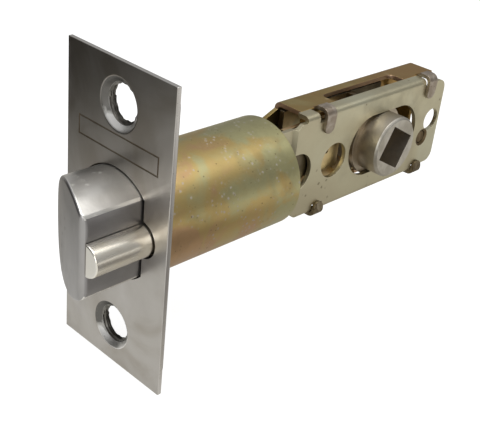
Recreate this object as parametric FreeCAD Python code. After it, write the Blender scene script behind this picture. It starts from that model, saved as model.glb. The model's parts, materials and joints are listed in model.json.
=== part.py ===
"""Tubular door latch with a guard bolt, modelled as it comes apart on a bench.

Frame, in millimetres: the origin is the centre of the face plate's outer face,
on the axis of the barrel. +X runs into the door, the bolt points to -X, the side
cover faces -Y and +Z is up. The hub's axis is parallel to Y.
"""

import FreeCAD, Part
import math
import os

# Face plate and the plate behind it
face_length = 60.0
face_width = 28.0
face_thickness = 0.9
screw_pitch = 44.4
screw_hole_radius = 3.8
countersink_radius = 4.8
backing_inset = 1.5
backing_thickness = 1.5
backing_hole_radius = 3.7
backing_corner_radius = 3.0
backing_stake_wall = 1.15
border_length = 21.5
border_width = 3.8
border_line = 0.35
border_depth = 0.12
border_centre_z = 15.0

# Barrel
housing_overhang = 0.25
tube_wall = 0.5
tube_end_x = 36.7
bush_length = 3.7
bush_inset = 0.3
bush_pocket_depth = 1.0

# Latch bolt
bolt_throw = 12.7
bolt_side_clearance = 0.25
bolt_flat_depth = 3.2
bolt_bevel_radius = 36.0
bolt_bevel_lean_deg = 10.3
bolt_rear_x = 9.0
bolt_pocket_depth = 4.0
bolt_edge_radius = 0.4
cross_pin_x = 2.8
cross_pin_radius = 1.25
cross_pin_recess = 0.1
tail_eye_length = 2.0

# Guard bolt and its tail
guard_throw = 12.0
guard_radius = 3.15
guard_gap = 0.15
guard_rear_x = 4.0
guard_tail_thickness = 0.6
guard_tail_half_width = 2.5
guard_tail_inner_y = -3.3
guard_tail_end_x = 49.2
guard_rivet_radius = 0.8
guard_seat_length = 2.8
guard_bend_lead = 0.5
guard_bend_length = 4.6
guard_bend_mitre = 0.3
guard_rivet_recess = 0.2

# Tail of the latch bolt and the retractor
tail_y = 2.5
tail_thickness = 1.2
tail_half_width = 4.25
tail_neck_half_width = 2.2
tail_neck_x = 44.5
tail_head_x = 46.6
tail_end_x = 49.0
toe_notch_depth = 1.5
toe_notch_margin = 0.6
retractor_front_x = 44.5
retractor_web_end_x = 50.0
retractor_arm_end_x = 77.0
retractor_arm_width = 3.0
retractor_lug_thickness = 1.2
hub_play = 0.35

# Springs
bolt_spring_radius = 5.0
bolt_spring_wire = 0.9
bolt_spring_turns = 7
guard_spring_radius = 0.85
guard_spring_wire = 0.4
guard_spring_turns = 20
guard_spring_offset = 1.95

# Housing: channel frame and side cover
sheet = 1.0
cover_outer_y = -5.2
frame_outer_y = 5.05
seam_y = -2.1
frame_front_x = 45.0
frame_rear_x = 90.6
frame_bend_radius = 1.5
tongue_corner_wall = 1.29
frame_shoulder_length = 4.5
frame_shoulder_inset = 0.6
tongue_setback = 0.4
pip_offset = 12.5
pip_tip_radius = 0.9
pip_root_radius = 1.6
cover_rear_x = 92.3
cover_flange_front_x = 44.2
cover_flange_rear_x = 88.6
cover_bend_radius = 1.2
cover_corner_radius = 3.6
cover_joggle_x = 40.5
cover_joggle_length = 0.8
cover_joggle_depth = 0.8
prong_corner_wall = 0.37
cover_shoulder_length = 1.4
prong_setback = 0.8
bend_mitre = 0.3
front_slot_end_x = 46.7
front_slot_radius = 4.3
front_slot_z = -0.4
mid_hole_x = 54.0
mid_hole_z = -0.4
mid_hole_radius = 3.9
rear_hole_x = 89.0
rear_hole_z = 0.8
rear_hole_radius = 2.6
aperture_front_x = 59.1
aperture_rear_x = 82.9
wall_slot_front_x = 55.5
wall_slot_rear_x = 79.5
wall_slot_edge_y = 1.8
wall_slot_corner = 1.4
tab_width = 2.9
tab_thickness = 0.9
tab_rise = 0.9
upper_tab_tip_z = 6.8
lower_tab_tip_z = 8.9
tab_shoulder_radius = 1.7
tab_root_half_height = 0.6
tab_tip_slope = 0.25
tab_notch_front_gap = 1.1
tab_notch_rear_gap = 0.3
tab_notch_depth = 0.8
front_tab_x = 50.35
rear_tab_x = 85.95
pillar_x = 86.6
pillar_z = -3.2
pillar_radius = 2.2
pillar_end_radius = 1.5
pillar_outer_recess = 0.35
pillar_inner_recess = 0.2
pillar_dimple_radius = 2.1
pillar_dimple_depth = 0.3
rear_ear_x = 83.6
rear_ear_bottom_z = -0.5
rear_ear_top_z = 4.5
rear_ear_corner = 1.2

# Hub
hub_x = 70.0
hub_wall = 1.314
hub_half_length = 9.4
hub_fit = 0.1
hub_waist_depth = 0.4
hub_collar_width = 1.3
hub_claw_tip_radius = 0.75
hub_chamfer = 0.5
collar_cover_gap = 0.15
collar_frame_gap = 0.1
claw_side_gap = 0.1
claw_root_z = 0.5
claw_crown = 0.4
claw_roof = 0.25
claw_spread = 1.1
spindle_side = 7.9
spindle_angle = 28.6

# Deadlock lever
lever_pivot_x = 58.0
lever_roof = 3.1
lever_outer_y = -2.9
lever_thickness = 1.0
lever_stud_radius = 1.5
stud_seat_floor = 0.35
lever_boss_radius = 2.6
lever_drop_deg = 7.0
lever_leg_front_x = 54.8
lever_leg_bottom_z = -3.6
lever_foot_front_x = 48.5
lever_foot_top_z = 0.2
lever_toe_x = 39.6
lever_toe_length = 1.9
lever_arm_height = 2.2
lever_finger_x = 46.3
lever_finger_length = 1.4
lever_pad_height = 0.9
lever_toe_height = 1.0
lever_foot_radius = 1.2
lever_rear_margin = 0.2
lever_spring_radius = 2.15
lever_spring_wire = 0.35
lever_spring_turns = 1.5

# Clearances
seat_gap = 0.05
running_gap = 0.3
pin_fit = 0.02
nest_gap = 0.1
tail_slot_gap = 0.15
window_gap = 0.4
overshoot = 1.0

# Worked out from the sizes above, from the spindle outwards
hub_boss_radius = spindle_side * math.sqrt(0.5) + hub_wall
hub_body_radius = hub_boss_radius - hub_waist_depth
hub_collar_radius = hub_boss_radius + hub_collar_width
retractor_arm_inner_z = hub_boss_radius + running_gap
inner_half_height = retractor_arm_inner_z + retractor_arm_width + running_gap
housing_half_height = inner_half_height + sheet
hub_claw_radius = inner_half_height - hub_claw_tip_radius - claw_roof
lever_pivot_z = inner_half_height - lever_roof
tube_outer_radius = housing_half_height - housing_overhang
tube_inner_radius = tube_outer_radius - tube_wall
bolt_radius = tube_inner_radius - bolt_side_clearance
bolt_flat_y = bolt_flat_depth - bolt_radius
backing_rear_x = face_thickness + backing_thickness
bush_rear_x = tube_end_x - bush_inset
bush_front_x = bush_rear_x - bush_length
guard_flat_y = bolt_flat_y - guard_gap
guard_spring_y = guard_flat_y - guard_spring_offset
cover_inner_y = cover_outer_y + sheet
frame_inner_y = frame_outer_y - sheet
tail_front_y = tail_y - tail_thickness / 2
tail_rear_y = tail_y + tail_thickness / 2
hub_swing_deg = math.degrees(math.asin(bolt_throw / (2 * hub_claw_radius)))
aperture_half_height = hub_boss_radius + hub_fit
lug_front_x = hub_x - bolt_throw / 2 + hub_claw_tip_radius + hub_play
lever_inner_y = lever_outer_y + lever_thickness
bolt_spring_front_x = bolt_rear_x - bolt_pocket_depth
guard_tail_outer_y = guard_flat_y - seat_gap
tongue_front_x = bush_front_x + bush_pocket_depth + tongue_setback
prong_front_x = bush_front_x + prong_setback
prong_outer_y = cover_outer_y + cover_joggle_depth
prong_reach = tube_inner_radius - prong_corner_wall
cover_prong_half_width = math.sqrt(prong_reach**2 - prong_outer_y**2)
tongue_reach = tube_inner_radius - tongue_corner_wall
frame_tongue_half_width = math.sqrt(tongue_reach**2 - frame_outer_y**2)
tail_front_x = cross_pin_x - tail_eye_length
guard_seat_front_x = guard_rear_x - guard_seat_length
guard_rivet_x = guard_rear_x - guard_seat_length / 2
claw_front_y = lever_outer_y + claw_side_gap
claw_rear_y = tail_front_y - running_gap

X_AXIS = FreeCAD.Vector(1, 0, 0)
Y_AXIS = FreeCAD.Vector(0, 1, 0)
Z_AXIS = FreeCAD.Vector(0, 0, 1)


def vec(x, y, z):
    """A point or a direction."""
    return FreeCAD.Vector(x, y, z)


def block(x0, x1, y0, y1, z0, z1):
    """A box between two corners."""
    return Part.makeBox(x1 - x0, y1 - y0, z1 - z0, vec(x0, y0, z0))


def rod_x(radius, x0, x1, y=0.0, z=0.0):
    """A round bar along X."""
    return Part.makeCylinder(radius, x1 - x0, vec(x0, y, z), X_AXIS)


def rod_y(radius, y0, y1, x, z):
    """A round bar along Y."""
    return Part.makeCylinder(radius, y1 - y0, vec(x, y0, z), Y_AXIS)


def rod_z(radius, z0, z1, x, y):
    """A round bar along Z."""
    return Part.makeCylinder(radius, z1 - z0, vec(x, y, z0), Z_AXIS)


def cone_x(radius_front, radius_rear, x0, x1, y, z):
    """A frustum along X."""
    return Part.makeCone(radius_front, radius_rear, x1 - x0, vec(x0, y, z), X_AXIS)


def plate_xz(corners, y0, y1):
    """A plate parallel to the side cover, from its outline seen along Y."""
    points = [vec(x, y0, z) for x, z in corners]
    outline = Part.makePolygon(points + [points[0]])
    return Part.Face(outline).extrude(vec(0, y1 - y0, 0))


def bar_xy(corners, z0, z1):
    """A bar with its section in the XY plane, from its outline seen along Z."""
    points = [vec(x, y, z0) for x, y in corners]
    outline = Part.makePolygon(points + [points[0]])
    return Part.Face(outline).extrude(vec(0, 0, z1 - z0))


def obround_y(radius, x0, x1, z, y0, y1):
    """A bar along Y with a slot's section, rounded at both ends."""
    middle = block(x0 + radius, x1 - radius, y0, y1, z - radius, z + radius)
    front = rod_y(radius, y0, y1, x0 + radius, z)
    rear = rod_y(radius, y0, y1, x1 - radius, z)
    return middle.fuse([front, rear]).removeSplitter()


def mirrored_z(shape):
    """The same shape on the other side of the barrel's axis, up for down."""
    return shape.mirror(vec(0, 0, 0), Z_AXIS)


def edges_along(shape, direction, accept):
    """Straight edges parallel to a direction whose middle point is accepted."""
    chosen = []
    for edge in shape.Edges:
        if not isinstance(edge.Curve, Part.Line):
            continue
        if abs(abs(edge.Curve.Direction.dot(direction)) - 1.0) > 1e-6:
            continue
        if accept(edge.CenterOfMass):
            chosen.append(edge)
    return chosen


def coil(radius, wire, turns, start, length, direction):
    """A compression spring of tilted half rings, its wire's outside within the length."""
    half_rings = round(2 * turns)
    step = (length - wire) / half_rings
    rings = []
    for index in range(half_rings):
        side = 1 if index % 2 == 0 else -1
        first = vec(side * radius, 0, index * step)
        middle = vec(0, 0, (index + 0.5) * step)
        disc = Part.Face(Part.Wire(Part.makeCircle(wire / 2, first, Y_AXIS)))
        rings.append(disc.revolve(middle, vec(side * step, 0, 2 * radius), 180))
    body = rings[0].fuse(rings[1:])
    turn = FreeCAD.Rotation(Z_AXIS, direction)
    body.Placement = FreeCAD.Placement(start + direction * (wire / 2), turn)
    return body


def bolt_window(x0, x1):
    """The opening in the plates: round, cut off by a flat, with a bulge for the guard bolt."""
    flat_y = bolt_flat_y - window_gap
    round_part = rod_x(tube_inner_radius, x0, x1)
    keep = block(x0, x1, flat_y, tube_outer_radius, -tube_outer_radius, tube_outer_radius)
    bulge = rod_x(guard_radius + window_gap, x0, x1, guard_flat_y)
    return round_part.common(keep).fuse(bulge)


def face_plate():
    """The stainless front plate with its two countersinks."""
    half_width = face_width / 2
    half_length = face_length / 2
    plate = block(0, face_thickness, -half_width, half_width, -half_length, half_length)
    for z in (-screw_pitch / 2, screw_pitch / 2):
        seat = cone_x(countersink_radius, screw_hole_radius, 0, face_thickness, 0, z)
        plate = plate.cut(seat)
    outer = stamped_block(border_length, border_width)
    inner = stamped_block(border_length - 2 * border_line, border_width - 2 * border_line)
    plate = plate.cut(outer.cut(inner))
    return plate.cut(bolt_window(0, face_thickness)).removeSplitter()


def stamped_block(length, width):
    """A shallow rectangle under the upper screw hole, long across the plate."""
    return block(
        0,
        border_depth,
        -length / 2,
        length / 2,
        border_centre_z - width / 2,
        border_centre_z + width / 2,
    )


def backing_plate():
    """The steel plate behind the face plate, staked round the barrel."""
    half_width = face_width / 2 - backing_inset
    half_length = face_length / 2 - backing_inset
    plate = block(
        face_thickness, backing_rear_x, -half_width, half_width, -half_length, half_length
    )
    plate = plate.makeFillet(backing_corner_radius, edges_along(plate, X_AXIS, lambda p: True))
    for z in (-screw_pitch / 2, screw_pitch / 2):
        plate = plate.cut(rod_x(backing_hole_radius, face_thickness, backing_rear_x, 0, z))
    stake = rod_x(tube_outer_radius + backing_stake_wall, face_thickness, backing_rear_x)
    seat = rod_x(tube_outer_radius + seat_gap, face_thickness, backing_rear_x)
    return plate.fuse(stake).cut(seat).removeSplitter()


def barrel_tube():
    """The thin steel tube that the bolt slides in."""
    outside = rod_x(tube_outer_radius, face_thickness, tube_end_x)
    return outside.cut(rod_x(tube_inner_radius, face_thickness, tube_end_x))


def rear_bush():
    """The cast plug in the barrel's rear end: spring seat, tail guide and seat for the housing."""
    body = rod_x(tube_inner_radius - seat_gap, bush_front_x, bush_rear_x)
    tail_slot = block(
        bush_front_x,
        bush_rear_x,
        tail_front_y - tail_slot_gap,
        tail_rear_y + tail_slot_gap,
        -tail_half_width - tail_slot_gap,
        tail_half_width + tail_slot_gap,
    )
    pocket = rod_x(
        bolt_spring_radius + bolt_spring_wire / 2 + running_gap,
        bush_front_x,
        bush_front_x + bush_pocket_depth,
        tail_y,
    )
    guard_slot = block(
        bush_front_x,
        bush_rear_x,
        guard_tail_outer_y - guard_tail_thickness - running_gap,
        guard_tail_inner_y + running_gap,
        -guard_tail_half_width - 2 * running_gap,
        guard_tail_half_width + 2 * running_gap,
    )
    tongue_slot = block(
        tongue_front_x - nest_gap,
        bush_rear_x,
        frame_inner_y - seat_gap,
        frame_outer_y + seat_gap,
        -frame_tongue_half_width - seat_gap,
        frame_tongue_half_width + seat_gap,
    )
    body = body.cut([tail_slot, pocket, guard_slot, tongue_slot])
    pocket_front_x = prong_front_x - nest_gap
    pocket_outer_y = prong_outer_y - seat_gap
    pocket_inner_y = prong_outer_y + sheet + seat_gap
    slot_top_z = front_slot_z + front_slot_radius - seat_gap
    slot_bottom_z = front_slot_z - front_slot_radius + seat_gap
    prong_end_z = cover_prong_half_width + seat_gap
    upper = block(
        pocket_front_x, bush_rear_x, pocket_outer_y, pocket_inner_y, slot_top_z, prong_end_z
    )
    lower = block(
        pocket_front_x, bush_rear_x, pocket_outer_y, pocket_inner_y, -prong_end_z, slot_bottom_z
    )
    return body.cut([upper, lower]).removeSplitter()


def latch_bolt():
    """The bolt head: a round bar with a flat side, and a nose curved back to the plate."""
    front_x = -bolt_throw
    bar = rod_x(bolt_radius, front_x, bolt_rear_x)
    keep = block(front_x, bolt_rear_x, bolt_flat_y, bolt_radius, -bolt_radius, bolt_radius)
    lean = math.radians(bolt_bevel_lean_deg)
    bevel = rod_z(
        bolt_bevel_radius,
        -bolt_radius - overshoot,
        bolt_radius + overshoot,
        front_x + bolt_bevel_radius * math.cos(lean),
        bolt_flat_y - bolt_bevel_radius * math.sin(lean),
    )
    head = bar.common(keep).common(bevel).removeSplitter()
    head = head.makeFillet(
        bolt_edge_radius, edges_along(head, X_AXIS, lambda p: abs(p.y - bolt_flat_y) < 0.01)
    )
    pocket = rod_x(
        bolt_spring_radius + bolt_spring_wire / 2 + running_gap,
        bolt_spring_front_x,
        bolt_rear_x,
        tail_y,
    )
    slot = block(
        tail_front_x - nest_gap,
        bolt_rear_x,
        tail_front_y - seat_gap,
        tail_rear_y + seat_gap,
        -tail_half_width - seat_gap,
        tail_half_width + seat_gap,
    )
    pin_hole = rod_y(cross_pin_radius + pin_fit, -bolt_radius, bolt_radius, cross_pin_x, 0)
    return head.cut([pocket, slot, pin_hole]).removeSplitter()


def bolt_cross_pin():
    """The pin that holds the tail in the bolt head."""
    reach = math.sqrt(bolt_radius**2 - cross_pin_radius**2) - cross_pin_recess
    return rod_y(cross_pin_radius, bolt_flat_y + cross_pin_recess, reach, cross_pin_x, 0)


def bolt_tail():
    """The flat bar from the bolt head to the retractor, with its T-shaped end."""
    bar = block(
        tail_front_x, tail_end_x, tail_front_y, tail_rear_y, -tail_half_width, tail_half_width
    )
    neck_cut = block(
        tail_neck_x,
        tail_head_x,
        tail_front_y,
        tail_rear_y,
        tail_neck_half_width,
        tail_half_width,
    )
    toe_notch = block(
        lever_toe_x - toe_notch_margin,
        lever_toe_x + lever_toe_length + toe_notch_margin,
        tail_front_y,
        tail_rear_y,
        tail_half_width - toe_notch_depth,
        tail_half_width,
    )
    pin_hole = rod_y(cross_pin_radius + pin_fit, tail_front_y, tail_rear_y, cross_pin_x, 0)
    return bar.cut([neck_cut, mirrored_z(neck_cut), toe_notch, pin_hole]).removeSplitter()


def retractor():
    """The sliding yoke: a web with a T-slot, two arms and two lugs that the hub pulls."""
    top_z = inner_half_height - running_gap
    web = block(
        retractor_front_x, retractor_web_end_x, tail_front_y, tail_rear_y, -top_z, top_z
    )
    arm = block(
        retractor_front_x,
        retractor_arm_end_x,
        tail_front_y,
        tail_rear_y,
        retractor_arm_inner_z,
        top_z,
    )
    lug_reach_y = lever_outer_y + running_gap
    lug = block(
        lug_front_x,
        lug_front_x + retractor_lug_thickness,
        lug_reach_y,
        tail_rear_y,
        retractor_arm_inner_z,
        top_z,
    )
    lug = lug.makeFillet(
        retractor_lug_thickness - seat_gap,
        edges_along(lug, Z_AXIS, lambda p: p.y > tail_y and p.x > lug_front_x + seat_gap),
    )
    body = web.fuse([arm, mirrored_z(arm), lug, mirrored_z(lug)])
    neck = block(
        retractor_front_x,
        tail_head_x,
        tail_front_y,
        tail_rear_y,
        -tail_neck_half_width - seat_gap,
        tail_neck_half_width + seat_gap,
    )
    head = block(
        tail_head_x - seat_gap,
        tail_end_x + seat_gap,
        tail_front_y,
        tail_rear_y,
        -tail_half_width - seat_gap,
        tail_half_width + seat_gap,
    )
    return body.cut([neck, head]).removeSplitter()


def bolt_spring():
    """The spring that pushes the latch bolt out."""
    seat_x = bush_front_x + bush_pocket_depth
    length = seat_x - bolt_spring_front_x
    start = vec(bolt_spring_front_x, tail_y, 0)
    return coil(
        bolt_spring_radius, bolt_spring_wire, bolt_spring_turns, start, length, X_AXIS
    )


def guard_bolt():
    """The half-round guard bolt that lies against the flat side of the latch bolt."""
    bar = rod_x(guard_radius, -guard_throw, guard_rear_x, guard_flat_y)
    half = block(
        -guard_throw,
        guard_rear_x,
        guard_flat_y - guard_radius,
        guard_flat_y,
        -guard_radius,
        guard_radius,
    )
    tail_seat = block(
        guard_seat_front_x,
        guard_rear_x,
        guard_tail_outer_y - guard_tail_thickness - pin_fit,
        guard_flat_y,
        -guard_tail_half_width - seat_gap,
        guard_tail_half_width + seat_gap,
    )
    hole = rod_y(
        guard_rivet_radius + pin_fit, guard_flat_y - guard_radius, guard_flat_y, guard_rivet_x, 0
    )
    return bar.common(half).cut([tail_seat, hole]).removeSplitter()


def guard_rivet():
    """The rivet that holds the guard bolt's tail."""
    outer_y = guard_flat_y - guard_radius + guard_rivet_recess
    return rod_y(guard_rivet_radius, outer_y, guard_tail_outer_y, guard_rivet_x, 0)


def guard_ramp_z(x):
    """The height of the guard tail's upper edge, which carries the lever's finger."""
    finger_middle_x = lever_finger_x + lever_finger_length / 2
    drop = (lever_pivot_x - finger_middle_x) * math.sin(math.radians(lever_drop_deg))
    slope = (drop + seat_gap) / guard_throw
    low_x = finger_middle_x - guard_throw
    return guard_tail_half_width + nest_gap + max(0.0, x - low_x) * slope


def guard_tail():
    """The bent strip behind the guard bolt, whose upper edge works the deadlock lever."""
    front_x = guard_seat_front_x
    bend_start_x = bolt_rear_x + bolt_throw + guard_bend_lead
    bend_end_x = bend_start_x + guard_bend_length
    outer_y = guard_tail_outer_y - guard_tail_thickness
    inner_y = guard_tail_inner_y - guard_tail_thickness
    section = [
        (front_x, outer_y),
        (bend_start_x, outer_y),
        (bend_end_x, inner_y),
        (guard_tail_end_x, inner_y),
        (guard_tail_end_x, guard_tail_inner_y),
        (bend_end_x - guard_bend_mitre, guard_tail_inner_y),
        (bend_start_x - guard_bend_mitre, guard_tail_outer_y),
        (front_x, guard_tail_outer_y),
    ]
    strip = bar_xy(section, -guard_tail_half_width, housing_half_height)
    ramp_start_x = lever_finger_x + lever_finger_length / 2 - guard_throw
    outline = [
        (front_x, -guard_tail_half_width),
        (guard_tail_end_x, -guard_tail_half_width),
        (guard_tail_end_x, guard_ramp_z(guard_tail_end_x)),
        (ramp_start_x, guard_ramp_z(ramp_start_x)),
        (ramp_start_x - overshoot, guard_tail_half_width),
        (front_x, guard_tail_half_width),
    ]
    keep = plate_xz(outline, outer_y - overshoot, 0)
    hole = rod_y(guard_rivet_radius + pin_fit, outer_y, guard_tail_outer_y, guard_rivet_x, 0)
    return strip.common(keep).cut(hole).removeSplitter()


def guard_spring():
    """The slender spring that pushes the guard bolt out."""
    start = vec(guard_rear_x, guard_spring_y, 0)
    length = bush_front_x - guard_rear_x
    return coil(
        guard_spring_radius, guard_spring_wire, guard_spring_turns, start, length, X_AXIS
    )


def crimp_tab(centre_x, tab_tip_z):
    """One tab of the frame, folded up over the cover's bend and down onto its face."""
    outer_y = cover_outer_y - tab_thickness
    crown_z = housing_half_height + tab_rise
    shoulder = tab_shoulder_radius
    face_z = crown_z - shoulder
    corner = shoulder * math.sin(math.pi / 4)
    inner_corner = (shoulder - tab_thickness) * math.sin(math.pi / 4)
    root_z = crown_z - tab_thickness
    x0 = centre_x - tab_width / 2
    points = {
        "root_top": vec(x0, seam_y + tab_root_half_height, housing_half_height),
        "crown_rear": vec(x0, seam_y - 1.5 * tab_root_half_height, crown_z),
        "crown_front": vec(x0, outer_y + shoulder, crown_z),
        "crown_mid": vec(x0, outer_y + shoulder - corner, face_z + corner),
        "face_top": vec(x0, outer_y, face_z),
        "tip_outer": vec(x0, outer_y + tab_tip_slope, tab_tip_z),
        "tip_inner": vec(x0, cover_outer_y, tab_tip_z),
        "face_inner": vec(x0, cover_outer_y, face_z),
        "inner_mid": vec(x0, outer_y + shoulder - inner_corner, face_z + inner_corner),
        "inner_crown": vec(x0, outer_y + shoulder, root_z),
        "root_mid": vec(x0, seam_y - tab_root_half_height, root_z),
        "root_low": vec(x0, seam_y + tab_root_half_height, inner_half_height),
    }
    edges = [
        Part.makeLine(points["root_top"], points["crown_rear"]),
        Part.makeLine(points["crown_rear"], points["crown_front"]),
        Part.Arc(points["crown_front"], points["crown_mid"], points["face_top"]).toShape(),
        Part.makeLine(points["face_top"], points["tip_outer"]),
        Part.makeLine(points["tip_outer"], points["tip_inner"]),
        Part.makeLine(points["tip_inner"], points["face_inner"]),
        Part.Arc(points["face_inner"], points["inner_mid"], points["inner_crown"]).toShape(),
        Part.makeLine(points["inner_crown"], points["root_mid"]),
        Part.makeLine(points["root_mid"], points["root_low"]),
        Part.makeLine(points["root_low"], points["root_top"]),
    ]
    tab = Part.Face(Part.Wire(edges)).extrude(vec(tab_width, 0, 0))
    tip_radius = tab_width / 2
    tip_centre_z = tab_tip_z + tip_radius
    front_y = outer_y - overshoot
    round_tip = rod_y(tip_radius, front_y, frame_outer_y, centre_x, tip_centre_z)
    rest = block(
        x0, x0 + tab_width, front_y, frame_outer_y, tip_centre_z, crown_z + overshoot
    )
    return tab.common(round_tip.fuse(rest))


def channel_frame():
    """The folded channel: far wall, top and bottom walls, front tongue and four crimped tabs."""
    half_height = housing_half_height
    outside = block(
        frame_front_x, frame_rear_x, seam_y, frame_outer_y, -half_height, half_height
    )
    outside = outside.makeFillet(
        frame_bend_radius, edges_along(outside, X_AXIS, lambda p: p.y > 0)
    )
    inside = block(
        frame_front_x,
        frame_rear_x,
        seam_y - overshoot,
        frame_inner_y,
        -inner_half_height,
        inner_half_height,
    )
    inside = inside.makeFillet(
        frame_bend_radius - sheet + nest_gap, edges_along(inside, X_AXIS, lambda p: p.y > 0)
    )
    body = outside.cut(inside)
    shoulder_z = inner_half_height - frame_shoulder_inset
    tongue = plate_xz(
        [
            (tongue_front_x, -frame_tongue_half_width),
            (frame_front_x - frame_shoulder_length, -frame_tongue_half_width),
            (frame_front_x, -shoulder_z),
            (frame_front_x + overshoot, -shoulder_z),
            (frame_front_x + overshoot, shoulder_z),
            (frame_front_x, shoulder_z),
            (frame_front_x - frame_shoulder_length, frame_tongue_half_width),
            (tongue_front_x, frame_tongue_half_width),
        ],
        frame_inner_y,
        frame_outer_y,
    )
    body = body.fuse(tongue)
    for pip_x in (hub_x - pip_offset, hub_x + pip_offset):
        pip = cone_pip(pip_x, (retractor_arm_inner_z + inner_half_height) / 2)
        body = body.fuse([pip, mirrored_z(pip)])
    for centre_x in (front_tab_x, rear_tab_x):
        upper_tab = crimp_tab(centre_x, upper_tab_tip_z)
        lower_tab = mirrored_z(crimp_tab(centre_x, lower_tab_tip_z))
        body = body.fuse([upper_tab, lower_tab])
    body = body.fuse(rear_ear())
    wall_slot = wall_window(inner_half_height - overshoot, half_height + overshoot)
    y0 = frame_inner_y - overshoot
    y1 = frame_outer_y + overshoot
    bearing = rod_y(hub_boss_radius + hub_fit, y0, y1, hub_x, 0)
    sight = rod_y(mid_hole_radius, y0, y1, mid_hole_x, mid_hole_z)
    pillar_hole = rod_y(pillar_end_radius + seat_gap, y0, y1, pillar_x, pillar_z)
    cuts = [wall_slot, mirrored_z(wall_slot), bearing, sight, pillar_hole]
    return body.cut(cuts).removeSplitter()


def cone_pip(x, z):
    """A pressed pip on the far wall that the retractor's arm slides on."""
    top_y = tail_rear_y + tail_slot_gap
    height = frame_inner_y - top_y
    return Part.makeCone(pip_tip_radius, pip_root_radius, height, vec(x, top_y, z), Y_AXIS)


def rear_ear():
    """The ear bent up from the far wall behind the hub, towards the side cover."""
    ear = block(
        rear_ear_x,
        rear_ear_x + sheet,
        lever_outer_y + running_gap,
        frame_outer_y,
        rear_ear_bottom_z,
        rear_ear_top_z,
    )
    return ear.makeFillet(rear_ear_corner, edges_along(ear, X_AXIS, lambda p: p.y < 0))


def wall_window(z0, z1):
    """The window in a side wall of the channel, open towards the side cover."""
    front_y = seam_y - overshoot
    cutter = block(wall_slot_front_x, wall_slot_rear_x, front_y, wall_slot_edge_y, z0, z1)
    return cutter.makeFillet(
        wall_slot_corner, edges_along(cutter, Z_AXIS, lambda p: p.y > 0)
    )


def side_cover():
    """The pressed cover: a shallow pan that the tabs hold, with two prongs into the barrel."""
    pan = block(
        cover_flange_front_x,
        cover_flange_rear_x,
        cover_outer_y,
        seam_y - pin_fit,
        -housing_half_height,
        housing_half_height,
    )
    pan = pan.makeFillet(
        cover_bend_radius, edges_along(pan, X_AXIS, lambda p: p.y < cover_inner_y)
    )
    hollow = block(
        cover_flange_front_x,
        cover_flange_rear_x,
        cover_inner_y,
        seam_y + overshoot,
        -inner_half_height,
        inner_half_height,
    )
    pan = pan.cut(hollow)
    face_half = housing_half_height - cover_bend_radius
    step_x = cover_joggle_x + cover_joggle_length
    sheet_section = [
        (prong_front_x, prong_outer_y),
        (cover_joggle_x, prong_outer_y),
        (step_x, cover_outer_y),
        (cover_rear_x, cover_outer_y),
        (cover_rear_x, cover_inner_y),
        (step_x + bend_mitre, cover_inner_y),
        (cover_joggle_x + bend_mitre, prong_outer_y + sheet),
        (prong_front_x, prong_outer_y + sheet),
    ]
    face = bar_xy(sheet_section, -face_half, face_half)
    outline = plate_xz(
        [
            (prong_front_x, -cover_prong_half_width),
            (step_x, -cover_prong_half_width),
            (step_x + cover_shoulder_length, -face_half),
            (cover_rear_x, -face_half),
            (cover_rear_x, face_half),
            (step_x + cover_shoulder_length, face_half),
            (step_x, cover_prong_half_width),
            (prong_front_x, cover_prong_half_width),
        ],
        cover_outer_y - overshoot,
        seam_y,
    )
    outline = outline.makeFillet(
        cover_corner_radius - cover_bend_radius,
        edges_along(outline, Y_AXIS, lambda p: p.x > cover_flange_rear_x),
    )
    body = pan.fuse(face.common(outline))
    y0 = cover_outer_y - overshoot
    slot_front_x = prong_front_x - 2 * front_slot_radius
    front_slot = obround_y(
        front_slot_radius, slot_front_x, front_slot_end_x, front_slot_z, y0, seam_y
    )
    aperture = obround_y(
        aperture_half_height, aperture_front_x, aperture_rear_x, 0, y0, seam_y
    )
    sight = rod_y(mid_hole_radius, y0, seam_y, mid_hole_x, mid_hole_z)
    screw_hole = rod_y(rear_hole_radius, y0, seam_y, rear_hole_x, rear_hole_z)
    stud_seat_y = cover_outer_y + stud_seat_floor
    stud_seat = rod_y(
        lever_stud_radius + seat_gap, stud_seat_y, seam_y, lever_pivot_x, lever_pivot_z
    )
    pillar_hole = rod_y(pillar_end_radius + seat_gap, y0, seam_y, pillar_x, pillar_z)
    dimple = Part.makeCone(
        pillar_dimple_radius,
        pillar_end_radius + seat_gap,
        pillar_dimple_depth,
        vec(pillar_x, cover_outer_y, pillar_z),
        Y_AXIS,
    )
    cuts = [front_slot, aperture, sight, screw_hole, stud_seat, pillar_hole, dimple]
    for centre_x in (front_tab_x, rear_tab_x):
        notch = block(
            centre_x - tab_width / 2 - tab_notch_front_gap,
            centre_x + tab_width / 2 + tab_notch_rear_gap,
            y0,
            seam_y,
            face_half - tab_notch_depth,
            housing_half_height + overshoot,
        )
        cuts += [notch, mirrored_z(notch)]
    return body.cut(cuts).removeSplitter()


def cover_pillar():
    """The spacer rivet that ties the cover to the far wall behind the hub."""
    body = rod_y(pillar_radius, cover_inner_y, frame_inner_y, pillar_x, pillar_z)
    outer_y = cover_outer_y + pillar_outer_recess
    inner_y = frame_outer_y - pillar_inner_recess
    ends = rod_y(pillar_end_radius, outer_y, inner_y, pillar_x, pillar_z)
    return body.fuse(ends).removeSplitter()


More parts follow.
